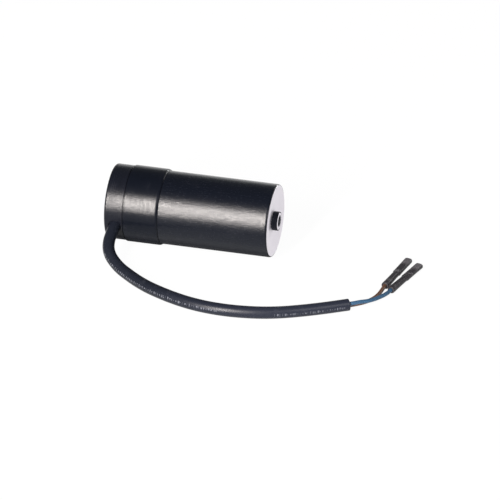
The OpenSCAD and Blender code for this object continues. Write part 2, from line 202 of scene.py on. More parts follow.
class Effects:
    """Builds each shared effect once and places it in materials."""

    PATCH_FINER = 14.0
    PATCH_LIFT = 0.5
    PATCH_CONTRAST = 4.0

    def place(self, board: Board, effect: Effect, **values: float) -> Socket:
        """Place an effect in a material, with the group's inputs by name, and return its mask."""
        return board.add("ShaderNodeGroup", values, node_tree=self.group(effect)).outputs["Mask"]

    @cache
    def group(self, effect: Effect) -> bpy.types.NodeTree:
        """Build the node group of an effect.

        Args:
            effect: which effect.

        Returns:
            The group, which puts out a mask from 0 to 1.
        """
        tree = bpy.data.node_groups.new(effect.value, "ShaderNodeTree")
        tree.interface.new_socket("Mask", in_out="OUTPUT", socket_type="NodeSocketFloat")
        board = Board(tree)
        makers = {Effect.STREAKS: self.streaks, Effect.GRAIN: self.grain, Effect.SCUFFS_AND_HIGHLIGHTS: self.scuffs}
        board.add("NodeGroupOutput", {"Mask": makers[effect](board)})
        return tree

    @staticmethod
    def streaks(board: Board) -> Socket:
        """Draw lines round the X axis: quick change along the axis, slow change around it.

        Args:
            board: the group's board.

        Returns:
            The mask.
        """
        given = board.inputs(Along="Float", Around="Float")
        scale = board.out("ShaderNodeCombineXYZ", {0: given["Along"], 1: given["Around"], 2: given["Around"]})
        place = board.out("ShaderNodeVectorMath", {0: board.place(), 1: scale}, operation="MULTIPLY")
        return board.noise(place, 1.0, detail=4.0)

    @staticmethod
    def grain(board: Board) -> Socket:
        """Draw even fine grain and return its mask."""
        given = board.inputs(Scale="Float")
        return board.noise(board.place(), given["Scale"], detail=2.0)

    def scuffs(self, board: Board) -> Socket:
        """Draw sparse pale patches, broken up by finer noise: scuffs, which on the terminals are painted
        highlights.

        Args:
            board: the group's board.

        Returns:
            The mask.
        """
        given = board.inputs(Scale="Float", Start="Float")
        place = board.place()
        patches = board.noise(place, given["Scale"], detail=3.0)
        fine = board.noise(place, board.times(given["Scale"], self.PATCH_FINER), detail=2.0)
        both = board.times(patches, board.math("ADD", fine, self.PATCH_LIFT))
        return board.times(board.math("SUBTRACT", both, given["Start"]), self.PATCH_CONTRAST)


EFFECTS = Effects()


def fresh_material(name: str) -> tuple[Material, Board, bpy.types.Node]:
    """Make an empty material with a Principled shader.

    Args:
        name: the material's name.

    Returns:
        The material, its board and its Principled node.
    """
    material = bpy.data.materials.new(name)
    material.use_nodes = True
    material.node_tree.nodes.clear()
    board = Board(material.node_tree)
    shader = board.add("ShaderNodeBsdfPrincipled")
    board.add("ShaderNodeOutputMaterial", {"Surface": shader.outputs[0]})
    return material, board, shader


# Finishes

@dataclass(frozen=True)
class PlasticFinish:
    """Plastic with drawn streaks, fine grain and a few scuffs, which on the terminals are painted highlights.

    A tip that the mesh marks gets a painted highlight on its top, and the underside may lose its gloss at flat
    angles.
    """

    name: str
    colour: Colour
    streak_colour: Colour
    roughness: Range
    specular: float = 0.5
    ior: float = 1.5
    coat: float = 0.0
    coat_roughness: float = 0.42
    coat_ior: float = 1.15
    along: float = 1400.0
    around: float = 50.0
    grain: float = 2600.0
    streak_height: float = 0.004 * MM
    grain_height: float = 0.003 * MM
    streak_share: float = 0.6
    scuff_and_highlight_colour: Colour = screen(70, 70, 76)
    scuff: float = 0.3
    scuff_scale: float = 120.0
    scuff_start: float = 0.62
    tip_highlight: float = 0.0
    dull_edge: float = 0.0
    dull_from: Range = (0.2, 0.62)
    dull_height: Range = (14.0 * MM, 22.0 * MM)

    def wear_and_highlight(self, board: Board, grain: Socket) -> Socket:
        """Mask the scuffs and the painted highlight on the tip.

        Args:
            board: the material's board.
            grain: the grain's mask.

        Returns:
            The share of the pale colour of the scuffs and painted highlights.
        """
        scuffs = EFFECTS.place(board, Effect.SCUFFS_AND_HIGHLIGHTS, Scale=self.scuff_scale, Start=self.scuff_start)
        worn = board.span(scuffs, UNIT, (0.0, self.scuff))
        if not self.tip_highlight:
            return worn
        # Painted highlight on the marked top of the tip, broken up by the grain.
        patchy = board.span(grain, NOISE_SPREAD, (self.tip_highlight / 2, self.tip_highlight))
        return board.math("MAXIMUM", worn, board.times(board.attribute("tip_highlight"), patchy))

    def underside(self, board: Board) -> Socket:
        """Mask the underside where it is seen at a flat angle.

        Args:
            board: the material's board.

        Returns:
            The mask.
        """
        facing = board.add("ShaderNodeLayerWeight", {"Blend": 0.5}).outputs["Facing"]
        low = board.span(board.split(board.place())[2], self.dull_height, (1.0, 0.0))
        return board.times(low, board.span(facing, self.dull_from, UNIT))

    @cache
    def material(self) -> Material:
        """Build the finish, the first time.

        Returns:
            The material.
        """
        material, board, shader = fresh_material(self.name)
        streak = EFFECTS.place(board, Effect.STREAKS, Along=self.along, Around=self.around)
        grain = EFFECTS.place(board, Effect.GRAIN, Scale=self.grain)
        colour = board.blend(streak, self.colour, self.streak_colour)
        gloss = board.span(board.mix(self.streak_share, streak, grain), NOISE_SPREAD, self.roughness)
        coat = self.coat
        if self.dull_edge:
            edge = self.underside(board)
            gloss = board.math("MAXIMUM", gloss, board.times(edge, self.dull_edge))
            coat = board.times(board.math("SUBTRACT", 1.0, edge), self.coat)
        height = board.math("MULTIPLY_ADD", streak, self.streak_height, board.times(grain, self.grain_height))
        board.fill(shader, {
            "Base Color": board.blend(self.wear_and_highlight(board, grain), colour, self.scuff_and_highlight_colour), "Roughness": gloss,
            "Specular IOR Level": self.specular, "IOR": self.ior, "Coat Weight": coat,
            "Coat Roughness": self.coat_roughness, "Coat IOR": self.coat_ior, "Normal": board.bump(height),
        })
        return material


@dataclass(frozen=True)
class MetalFinish:
    """Turned metal with fine rings round the can's axis, and painted shade in its threaded hole."""

    name: str
    colour: Colour
    ring_colour: Colour
    hole_shade_colour: Colour
    axis_z: float
    hole_r: float
    hole_floor: float
    roughness: Range = (0.45, 0.58)
    rings: float = 1800.0
    ring_height: float = 0.002 * MM
    ring_share: float = 0.5
    clouds: float = 90.0

    @cache
    def material(self) -> Material:
        """Build the finish, the first time.

        Returns:
            The material.
        """
        material, board, shader = fresh_material(self.name)
        along, across, up = board.split(board.place())
        rise = board.math("SUBTRACT", up, self.axis_z)
        radius = board.math("SQRT", board.math("MULTIPLY_ADD", across, across, board.times(rise, rise)))
        section = board.out("ShaderNodeCombineXYZ", {0: radius, 1: along})
        ring = board.noise(section, self.rings, detail=3.0)
        cloud = board.noise(board.place(), self.clouds, detail=3.0)
        colour = board.blend(board.mix(self.ring_share, ring, cloud), self.ring_colour, self.colour)
        # Painted shade: colour darkens the threaded hole, from its mouth to just under its floor.
        hole_shade = board.times(board.math("LESS_THAN", radius, self.hole_r),
                              board.math("GREATER_THAN", along, self.hole_floor))
        board.fill(shader, {
            "Base Color": board.blend(hole_shade, colour, self.hole_shade_colour), "Metallic": 1.0,
            "Roughness": board.span(ring, NOISE_SPREAD, self.roughness),
            "Normal": board.bump(board.times(ring, self.ring_height)),
        })
        return material


@dataclass(frozen=True)
class DashRow:
    """One row of dashes: its start and end along the cable, and the rise of its middle, from -1 to 1."""

    start: float
    end: float
    level: float


@dataclass(frozen=True)
class JacketFinish:
    """Black cable plastic with rows of pale dashes along one side, and painted light that makes it paler
    towards its free end.
    """

    name: str
    colour: Colour
    sheen_colour: Colour
    mark_colour: Colour
    # Colour of the painted light towards the free end, and the run along the cable over which it comes in.
    painted_light_colour: Colour
    painted_light_run: Range = (60.0 * MM, 130.0 * MM)
    roughness: Range = (0.3, 0.4)
    specular: float = 0.5
    ior: float = 1.28
    rows: tuple[DashRow, ...] = (DashRow(0.021, 0.107, 0.2), DashRow(0.136, 0.1755, 0.02))
    pitch: float = 1.35 * MM
    dash_share: Range = (0.1, 0.85)
    dash_reach: Range = (0.1, 0.25)
    fade_scale: float = 900.0
    fade_spread: Range = (0.35, 0.65)
    fade: Range = (0.15, 0.9)
    grain: float = 1500.0
    grain_height: float = 0.012 * MM
    scuff_scale: float = 180.0
    scuff_start: float = 0.62
    scuff: float = 0.15

    def marks(self, board: Board, along: Socket) -> Socket:
        """Mask the dashes, laid out by the tube's own length, side and rise.

        Args:
            board: the material's board.
            along: length along the tube.

        Returns:
            The mask.
        """
        side, rise = board.attribute("side"), board.attribute("rise")
        step = board.math("DIVIDE", along, self.pitch)
        draw = board.add("ShaderNodeTexWhiteNoise", {"W": board.math("FLOOR", step)}, noise_dimensions="1D")
        picks = board.add("ShaderNodeSeparateColor", {0: draw.outputs["Color"]}).outputs
        filled = board.span(picks[0], UNIT, self.dash_share)
        within = board.math("LESS_THAN", board.math("FRACT", step), filled)
        reach = board.span(picks[1], UNIT, self.dash_reach)
        shown = []
        for row in self.rows:
            inside = board.times(board.math("GREATER_THAN", along, row.start),
                                 board.math("LESS_THAN", along, row.end))
            off = board.math("ABSOLUTE", board.math("SUBTRACT", rise, row.level))
            shown.append(board.times(inside, board.math("LESS_THAN", off, reach)))
        fading = board.noise(board.place(), self.fade_scale, detail=2.0)
        dashes = board.times(board.times(within, board.math("ADD", *shown)),
                             board.span(fading, self.fade_spread, self.fade))
        return board.times(dashes, board.math("GREATER_THAN", side, 0.0))

    @cache
    def material(self) -> Material:
        """Build the finish, the first time.

        Returns:
            The material.
        """
        material, board, shader = fresh_material(self.name)
        grain = EFFECTS.place(board, Effect.GRAIN, Scale=self.grain)
        scuffs = EFFECTS.place(board, Effect.SCUFFS_AND_HIGHLIGHTS, Scale=self.scuff_scale, Start=self.scuff_start)
        along = board.attribute("along")
        plain = board.blend(grain, self.colour, self.sheen_colour)
        # Painted light: the jacket's colour turns paler over this run, towards its free end.
        lit_towards_end = board.blend(board.span(along, self.painted_light_run, UNIT), plain, self.painted_light_colour)
        marked = board.blend(self.marks(board, along), lit_towards_end, self.mark_colour)
        worn = board.span(scuffs, UNIT, (0.0, self.scuff))
        board.fill(shader, {
            "Base Color": board.blend(worn, marked, self.mark_colour),
            "Roughness": board.span(grain, NOISE_SPREAD, self.roughness),
            "Specular IOR Level": self.specular, "IOR": self.ior,
            "Normal": board.bump(board.times(grain, self.grain_height)),
        })
        return material


@dataclass(frozen=True)
class InnerFinish:
    """Plain material of a piece inside the can or cap, clouded and grained."""

    name: str
    colour: Colour
    cloud_colour: Colour
    roughness: Range
    metallic: float = 0.0
    cloud: float = 300.0
    grain_finer: float = 6.0
    grain_height: float = 0.01 * MM

    @cache
    def material(self) -> Material:
        """Build the finish, the first time.

        Returns:
            The material.
        """
        material, board, shader = fresh_material(self.name)
        cloud = board.noise(board.place(), self.cloud, detail=4.0)
        grain = EFFECTS.place(board, Effect.GRAIN, Scale=self.cloud * self.grain_finer)
        board.fill(shader, {
            "Base Color": board.blend(cloud, self.colour, self.cloud_colour), "Metallic": self.metallic,
            "Roughness": board.span(grain, NOISE_SPREAD, self.roughness),
            "Normal": board.bump(board.times(grain, self.grain_height)),
        })
        return material


FILM = PlasticFinish(
    "sleeve_film", screen(6, 9, 16), screen(10, 13, 22), (0.12, 0.34), ior=1.247, coat=1.0,
    along=430.0, around=1350.0, streak_height=0.05 * MM, grain=1400.0, grain_height=0.07 * MM, scuff=0.1,
    dull_edge=0.8)
SKIRT = PlasticFinish(
    "skirt_moulding", screen(6, 9, 16), screen(10, 13, 21), (0.105, 0.26), ior=1.167, coat=1.0,
    along=700.0, around=160.0, streak_height=0.006 * MM, grain=900.0, grain_height=0.03 * MM, scuff=0.12,
    dull_edge=0.8)
CROWN = PlasticFinish(
    "crown_moulding", screen(10, 12, 18), screen(16, 18, 26), (0.145, 0.33), ior=1.2, coat=1.0,
    grain=1000.0, grain_height=0.07 * MM, scuff=0.15, dull_edge=0.8)
COLLAR = PlasticFinish("collar_moulding", screen(17, 20, 30), screen(24, 27, 38), (0.5, 0.65), specular=0.2)
# Terminals: the strong pale scuffs and the marked tip are painted highlights.
TERMINAL = PlasticFinish(
    "terminal_moulding", screen(20, 19, 22), screen(47, 45, 49), (0.35, 0.55), ior=1.35,
    along=1300.0, around=1300.0, streak_height=0.02 * MM, grain=1900.0, grain_height=0.02 * MM,
    scuff_and_highlight_colour=screen(106, 104, 108), scuff=0.9, scuff_scale=240.0, scuff_start=0.56, tip_highlight=0.55)
BLUE = PlasticFinish("blue_insulation", screen(35, 63, 88), screen(46, 75, 101), (0.34, 0.46), ior=1.35)
BROWN = PlasticFinish("brown_insulation", screen(66, 47, 37), screen(88, 60, 44), (0.34, 0.46), ior=1.35)
# The last colour is the painted light that pales the jacket towards its free end.
JACKET = JacketFinish(
    "jacket_plastic", screen(15, 18, 26), screen(23, 26, 34), screen(92, 95, 103), screen(28, 31, 41))

# Looks of the CAD nodes that stay: material slot, colour, clouds' colour, roughness and metal share
NODE_LOOKS: tuple[tuple, ...] = (
    ("lid_board", (120, 78, 46), (96, 60, 34), (0.4, 0.55), 0.0),
    ("seal_rubber", (38, 38, 40), (50, 50, 52), (0.6, 0.75), 0.0),
    ("rivet_metal", (210, 211, 214), (188, 190, 194), (0.25, 0.4), 1.0),
    ("tag_brass", (196, 160, 86), (176, 140, 70), (0.25, 0.4), 1.0),
    ("tinned_brass", (205, 203, 196), (184, 180, 170), (0.25, 0.4), 1.0),
    ("winding_paper", (206, 186, 150), (188, 164, 124), (0.6, 0.8), 0.0),
    ("liner_paper", (190, 160, 116), (170, 138, 96), (0.65, 0.85), 0.0),
    ("tie_nylon", (226, 222, 208), (210, 205, 188), (0.35, 0.5), 0.0),
)
NODE_FINISHES: dict[str, InnerFinish | PlasticFinish] = {
    slot: InnerFinish(slot, screen(*colour), screen(*cloud), roughness, metal)
    for slot, colour, cloud, roughness, metal in NODE_LOOKS
}
NODE_FINISHES |= {"core_blue": BLUE, "core_brown": BROWN}


# Geometry trees and meshes

def place_object(name: str, data: bpy.types.ID) -> Object:
    """Make an object of a mesh, lamp or camera and link it to the scene.

    Args:
        name: the object's name.
        data: what it shows.

    Returns:
        The object, at the origin.
    """
    made = bpy.data.objects.new(name, data)
    bpy.context.scene.collection.objects.link(made)
    return made


def take_result(piece: Object, modifier: bpy.types.Modifier) -> None:
    """Make what a modifier gives the piece's own plain mesh, and remove the modifier.

    Args:
        piece: the piece.
        modifier: its modifier.
    """
    graph = bpy.context.evaluated_depsgraph_get()
    before = piece.data
    made = bpy.data.meshes.new_from_object(piece.evaluated_get(graph), preserve_all_data_layers=True,
                                           depsgraph=graph)
    piece.modifiers.remove(modifier)
    piece.data = made
    bpy.data.meshes.remove(before)
    made.name = piece.name


class Tree(Enum):
    """Geometry node trees of the model."""

    TURNED = "Turned shell"
    SWEPT = "Swept lead"
    THREAD = "Helical thread"


class Trees:
    """Builds each geometry tree once, and runs it on an object."""

    QUARTER_TURN = math.radians(90)
    SECTION_R = 0.5
    THREAD_STEPS = 48
    RIDGE_SIDES = 4

    @cache
    def get(self, kind: Tree) -> bpy.types.NodeTree:
        """Build a tree, the first time.

        Args:
            kind: which tree.

        Returns:
            The tree.
        """
        makers = {Tree.TURNED: self.turned, Tree.SWEPT: self.swept, Tree.THREAD: self.thread}
        tree = bpy.data.node_groups.new(kind.value, "GeometryNodeTree")
        for way in ("INPUT", "OUTPUT"):
            tree.interface.new_socket("Geometry", in_out=way, socket_type="NodeSocketGeometry")
        makers[kind](Board(tree))
        return tree

    @staticmethod
    def store(board: Board, geometry: Socket, name: str, value: Socket) -> Socket:
        """Keep a number at each point of a geometry, under a name."""
        inputs = {"Geometry": geometry, "Name": name, "Value": value}
        return board.out("GeometryNodeStoreNamedAttribute", inputs, data_type="FLOAT", domain="POINT")

    def laid(self, board: Board, mesh: Socket, place: Socket) -> Socket:
        """Turn what stands along Z to lie along X, and move it to its place."""
        inputs = {"Geometry": mesh, "Translation": place, "Rotation": (0.0, self.QUARTER_TURN, 0.0)}
        return board.out("GeometryNodeTransform", inputs)

    @staticmethod
    def close(board: Board, mesh: Socket, material: Socket) -> None:
        """End a tree: smooth shading, real geometry and its material.

        Args:
            board: the tree's board.
            mesh: what the tree makes.
            material: its material.
        """
        smooth = board.out("GeometryNodeSetShadeSmooth", {"Geometry": mesh})
        real = board.out("GeometryNodeRealizeInstances", {"Geometry": smooth})
        dressed = board.out("GeometryNodeSetMaterial", {"Geometry": real, "Material": material})
        board.add("NodeGroupOutput", {"Geometry": dressed})

    def turned(self, board: Board) -> None:
        """Turn an outline round the X axis; it holds the radius past the guide and the place along the axis.

        Args:
            board: the tree's board.
        """
        given = board.inputs(Guide_Radius="Float", Segments="Int", Axis_Height="Float", Material="Material")
        outline = board.out("GeometryNodeMeshToCurve", {"Mesh": given["Geometry"]})
        ring = board.out("GeometryNodeCurvePrimitiveCircle",
                         {"Resolution": given["Segments"], "Radius": given["Guide Radius"]})
        level = board.out("GeometryNodeSetCurveNormal", {"Curve": ring}, mode="Z_UP")
        shell = board.out("GeometryNodeCurveToMesh", {"Curve": level, "Profile Curve": outline})
        joined = board.out("GeometryNodeMergeByDistance", {"Geometry": shell, "Distance": MERGE})
        lift = board.out("ShaderNodeCombineXYZ", {2: given["Axis Height"]})
        self.close(board, self.laid(board, joined, lift), given["Material"])

    def swept(self, board: Board) -> None:
        """Sweep a round section along a line, and keep its length, side and rise as attributes.

        Args:
            board: the tree's board.
        """
        given = board.inputs(Diameter="Float", Sides="Int", Material="Material")
        line = board.out("GeometryNodeMeshToCurve", {"Mesh": given["Geometry"]})
        level = board.out("GeometryNodeSetCurveNormal", {"Curve": line}, mode="Z_UP")
        length = board.add("GeometryNodeSplineParameter").outputs["Length"]
        ruled = self.store(board, level, "along", length)
        section = board.out("GeometryNodeCurvePrimitiveCircle",
                            {"Resolution": given["Sides"], "Radius": self.SECTION_R})
        place = board.split(board.out("GeometryNodeInputPosition"))
        for name, axis, sign in (("side", 0, 1), ("rise", 1, -1)):
            section = self.store(board, section, name, board.times(place[axis], sign / self.SECTION_R))
        girth = board.out("GeometryNodeInputNamedAttribute", {"Name": "girth"}, data_type="FLOAT")
        scale = board.times(girth, given["Diameter"])
        tube = board.out("GeometryNodeCurveToMesh",
                         {"Curve": ruled, "Profile Curve": section, "Scale": scale, "Fill Caps": True})
        self.close(board, tube, given["Material"])

    def thread(self, board: Board) -> None:
        """Wind a ridge of square section, stood on its edge, into a helix along the X axis.

        Args:
            board: the tree's board.
        """
        given = board.inputs(Radius="Float", Depth="Float", Turns="Float", Ridge="Float", Start="Vector",
                             Material="Material")
        ends = {"Start Radius": given["Radius"], "End Radius": given["Radius"]}
        steps = {"Resolution": self.THREAD_STEPS, "Rotations": given["Turns"]}
        helix = board.out("GeometryNodeCurveSpiral", {**steps, **ends, "Height": given["Depth"]})
        section = board.out("GeometryNodeCurvePrimitiveCircle",
                            {"Resolution": self.RIDGE_SIDES, "Radius": given["Ridge"]})
        level = board.out("GeometryNodeSetCurveNormal", {"Curve": helix}, mode="Z_UP")
        ridge = board.out("GeometryNodeCurveToMesh",
                          {"Curve": level, "Profile Curve": section, "Fill Caps": True})
        self.close(board, self.laid(board, ridge, given["Start"]), given["Material"])

    def run(self, kind: Tree, name: str, mesh: bpy.types.Mesh, **values: object) -> Object:
        """Run a tree on a mesh and keep the result as a plain mesh.

        Args:
            kind: which tree.
            name: the new piece's name.
            mesh: what the tree starts from.
            values: the tree's inputs, by name with underscores for spaces.

        Returns:
            The new object, at the origin.
        """
        tree = self.get(kind)
        piece = place_object(name, mesh)
        modifier = piece.modifiers.new(kind.value, "NODES")
        modifier.node_group = tree
        keys = {s.name: s.identifier for s in tree.interface.items_tree if s.in_out == "INPUT"}
        for label, value in values.items():
            modifier[keys[label.replace("_", " ")]] = value
        take_result(piece, modifier)
        return piece


TREES = Trees()


def tidy_mesh(mesh: bpy.types.Mesh) -> None:
    """Point a closed mesh's faces outwards, shade it smooth and keep its real edges sharp.

    Args:
        mesh: the mesh.
    """
    work = bmesh.new()
    work.from_mesh(mesh)
    bmesh.ops.remove_doubles(work, verts=work.verts, dist=MERGE)
    bmesh.ops.recalc_face_normals(work, faces=work.faces)
    work.to_mesh(mesh)
    work.free()
    mesh.shade_smooth()
    mesh.set_sharp_from_angle(angle=SHARP)


def arc(centre: tuple[float, float], radius: float, start: float, end: float, steps: int = 8) -> Outline:
    """Points of an arc in an outline.

    Args:
        centre: place along the axis and radius of the arc's middle.
        radius: the arc's own radius.
        start: first angle in degrees, from the axis' direction.
        end: last angle in degrees.
        steps: number of chords.

    Returns:
        Points of place along the axis and radius.
    """
    angles = [math.radians(start + (end - start) * i / steps) for i in range(steps + 1)]
    return [(centre[0] + radius * math.cos(a), centre[1] + radius * math.sin(a)) for a in angles]


def held(outline: Outline, hold: float = 0.05 * MM, long_run: float = 6.0) -> Outline:
    """Add points close to both ends of long straight runs, so that smooth shading stays even along them.

    Args:
        outline: points of place along the axis and radius.
        hold: distance of the added points from a run's ends.
        long_run: how many of these distances make a run long.

    Returns:
        The outline with the added points.
    """
    points = []
    for (x0, r0), (x1, r1) in zip(outline, outline[1:]):
        points.append((x0, r0))
        length = math.hypot(x1 - x0, r1 - r0)
        if length > long_run * hold:
            for share in (hold / length, 1 - hold / length):
                points.append((x0 + (x1 - x0) * share, r0 + (r1 - r0) * share))
    return [*points, outline[-1]]


def turned_piece(name: str, outline: Outline, axis_z: float, material: Material,
                 segments: int = 192) -> Object:
    """Turn an outline round the can's axis.

    Args:
        name: the piece's name.
        outline: points of place along X and radius, from axis to axis or round a ring's section.
        axis_z: height of the axis.
        material: its material.
        segments: number of steps round the axis.

    Returns:
        The turned piece.
    """
    mesh = bpy.data.meshes.new(name)
    on_axis = outline[0][1] == 0.0 and outline[-1][1] == 0.0
    run = held(outline) if on_axis else held([*outline, outline[0]])[:-1]
    points = [(radius - GUIDE_R, -along, 0.0) for along, radius in run]
    edges = [(i, i + 1) for i in range(len(points) - 1)]
    if not on_axis:
        edges.append((len(points) - 1, 0))
    mesh.from_pydata(points, edges, [])
    piece = TREES.run(Tree.TURNED, name, mesh, Guide_Radius=GUIDE_R, Segments=segments, Axis_Height=axis_z,
                      Material=material)
    tidy_mesh(piece.data)
    return piece


def smooth_line(points: Sequence[Point], step: float) -> list[Vector]:
    """Lay a smooth line through a route's points.

    Args:
        points: the route's points.
        step: about how far apart the line's points are.

    Returns:
        The line's points, from the first of the route to the last.
    """
    knots = [Vector(p) for p in points]
    legs = [b - a for a, b in zip(knots, knots[1:])]
    slopes = [legs[0].normalized()]
    for before, after in zip(legs, legs[1:]):
        long_a, long_b = before.length, after.length
        slopes.append((before / long_a * long_b + after / long_b * long_a) / (long_a + long_b))
    slopes.append(legs[-1].normalized())
    line = []
    for i, leg in enumerate(legs):
        count = max(2, round(leg.length / step))
        for k in range(count):
            t = k / count
            line.append(knots[i] * (2 * t**3 - 3 * t**2 + 1) + knots[i + 1] * (3 * t**2 - 2 * t**3)
                        + slopes[i] * leg.length * (t**3 - 2 * t**2 + t)
                        + slopes[i + 1] * leg.length * (t**3 - t**2))
    return [*line, knots[-1]]


def line_length(line: Sequence[Vector]) -> float:
    """Return the length of a line of points."""
    return sum((b - a).length for a, b in zip(line, line[1:]))


def unit(value: float) -> float:
    """Hold a value between 0 and 1."""
    return min(1.0, max(0.0, value))


def keep(piece: Object, slot: str, *nodes: str) -> None:
    """Let a piece ride on the part and stand for its solids.

    Args:
        piece: the finished piece.
        slot: the record's material slot; not used.
        nodes: the CAD nodes that it replaces.
    """
    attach(piece, ROOT)
    if nodes:
        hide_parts(*nodes)
    stands_for = ", ".join(nodes) or "no node"
    LOG.info("%s: %d faces, stands for %s", piece.name, len(piece.data.polygons), stands_for)


# Camera and studio

@dataclass
class PhotoCamera:
    """Long-lens camera at the photograph's viewing angle."""

    target: Point = (32.81 * MM, -10.76 * MM, 6.98 * MM)
    azimuth: float = math.radians(14.5)
    elevation: float = math.radians(29.3)
    frame_width: float = 270.65 * MM
    lens: float = 1000.0
    sensor: float = 36.0
    clip: Range = (0.1, 40.0)

    def build(self) -> None:
        """Make the camera, point it at its target and use it."""
        data = bpy.data.cameras.new("photo_camera")
        data.lens = self.lens
        data.sensor_width = self.sensor
        data.clip_start, data.clip_end = self.clip
        camera = place_object("photo_camera", data)
        rise, flat = math.sin(self.elevation), math.cos(self.elevation)
        back = Vector((math.sin(self.azimuth) * flat, -math.cos(self.azimuth) * flat, rise))
        camera.location = Vector(self.target) + back * (self.frame_width * self.lens / self.sensor)
        camera.rotation_euler = (-back).to_track_quat("-Z", "Y").to_euler()
        bpy.context.scene.camera = camera


@dataclass(frozen=True)
class Softbox:
    """One soft lamp that faces a point on the object."""

    name: str
    towards: Point
    size: tuple[float, float]
    watts: float
    distance: float = 3.0
    target: Point = (0.0, 0.0, 0.02)
    colour: Point = (1.0, 1.0, 1.0)

    def build(self) -> None:
        """Make the lamp."""
        data = bpy.data.lights.new(self.name, "AREA")
        data.shape = "RECTANGLE"
        data.size, data.size_y = self.size
        data.energy = self.watts
        data.color = self.colour
        lamp = place_object(self.name, data)
        away = Vector(self.towards).normalized()
        lamp.location = Vector(self.target) + away * self.distance
        lamp.rotation_euler = away.to_track_quat("Z", "Y").to_euler()
        lamp.visible_camera = False


@dataclass
class Studio:
    """Plain pale floor, even surroundings and soft lamps: a graded key, a side lamp, a card and rim lamps."""

    floor_size: float = 8.0
    floor_colour: Colour = (0.88, 0.88, 0.88, 1.0)
    floor_roughness: float = 0.9
    white: Colour = (1.0, 1.0, 1.0, 1.0)
    white_share: float = 0.97
    surroundings: float = 0.15
    surroundings_colour: Colour = (0.9, 0.95, 1.0, 1.0)
    key_side: float = -0.218
    key_low: float = 4.0
    key_step: float = 5.5
    key_shares: tuple[float, ...] = (0.32, 0.45, 0.74, 0.9, 0.96, 0.98, 0.93, 0.58, 0.26, 0.09)
    key_watts: float = 41.0
    key_size: tuple[float, float] = (0.2, 0.29)
    key_colour: Point = (1.0, 0.94, 0.9)
    lamps: tuple[Softbox, ...] = (
        Softbox("right_softbox", (0.65, -0.52, 0.55), (0.18, 0.18), 0.62, distance=0.45),
        Softbox("back_card", (0.0, 0.99, 0.08), (3.0, 0.7), 4.5),
        Softbox("rim_lamp_0", (0.25, 0.966, 0.03), (0.4, 0.4), 11.0),
        Softbox("rim_lamp_1", (0.42, 0.88, 0.17), (0.4, 0.4), 9.0),
        Softbox("rim_lamp_2", (0.6, 0.7, 0.33), (0.4, 0.4), 6.0),
    )

    def paper(self) -> Material:
        """Make the floor's paper, which shows mostly its own white and some of the shade that falls on it.

        Returns:
            The material.
        """
        material, board, shader = fresh_material("floor_paper")
        board.fill(shader, {"Base Color": self.floor_colour, "Roughness": self.floor_roughness,
                            "Specular IOR Level": 0.0})
        path = board.add("ShaderNodeLightPath").outputs
        mirrored = board.math("MAXIMUM", path["Is Glossy Ray"], path["Is Transmission Ray"])
        seen = board.math("MAXIMUM", path["Is Camera Ray"], mirrored)
        white = board.out("ShaderNodeEmission", {"Color": self.white, "Strength": 1.0})
        mix = board.out("ShaderNodeMixShader",
                        {0: board.times(seen, self.white_share), 1: shader.outputs[0], 2: white})
        board.fill(board.tree.nodes["Material Output"], {"Surface": mix})
        return material

    def floor(self) -> None:
        """Lay the floor."""
        half = self.floor_size / 2
        corners = [(-half, -half, 0), (half, -half, 0), (half, half, 0), (-half, half, 0)]
        mesh = bpy.data.meshes.new("floor")
        mesh.from_pydata(corners, [], [(0, 1, 2, 3)])
        mesh.materials.append(self.paper())
        place_object("floor", mesh)

    def build(self) -> None:
        """Make the floor, the world and the lamps."""
        scene = bpy.context.scene
        scene.view_settings.view_transform = "Standard"
        self.floor()
        world = bpy.data.worlds.new("studio")
        world.use_nodes = True
        Board(world.node_tree).fill(world.node_tree.nodes["Background"],
                                    {"Color": self.surroundings_colour, "Strength": self.surroundings})
        scene.world = world
        across = math.sqrt(1 - self.key_side**2)
        for row, share in enumerate(self.key_shares):
            rise = math.radians(self.key_low + row * self.key_step)
            towards = (self.key_side, -across * math.cos(rise), across * math.sin(rise))
            watts = self.key_watts * share
            Softbox(f"key_row_{row}", towards, self.key_size, watts, colour=self.key_colour).build()
        for lamp in self.lamps:
            lamp.build()


# The capacitor's body

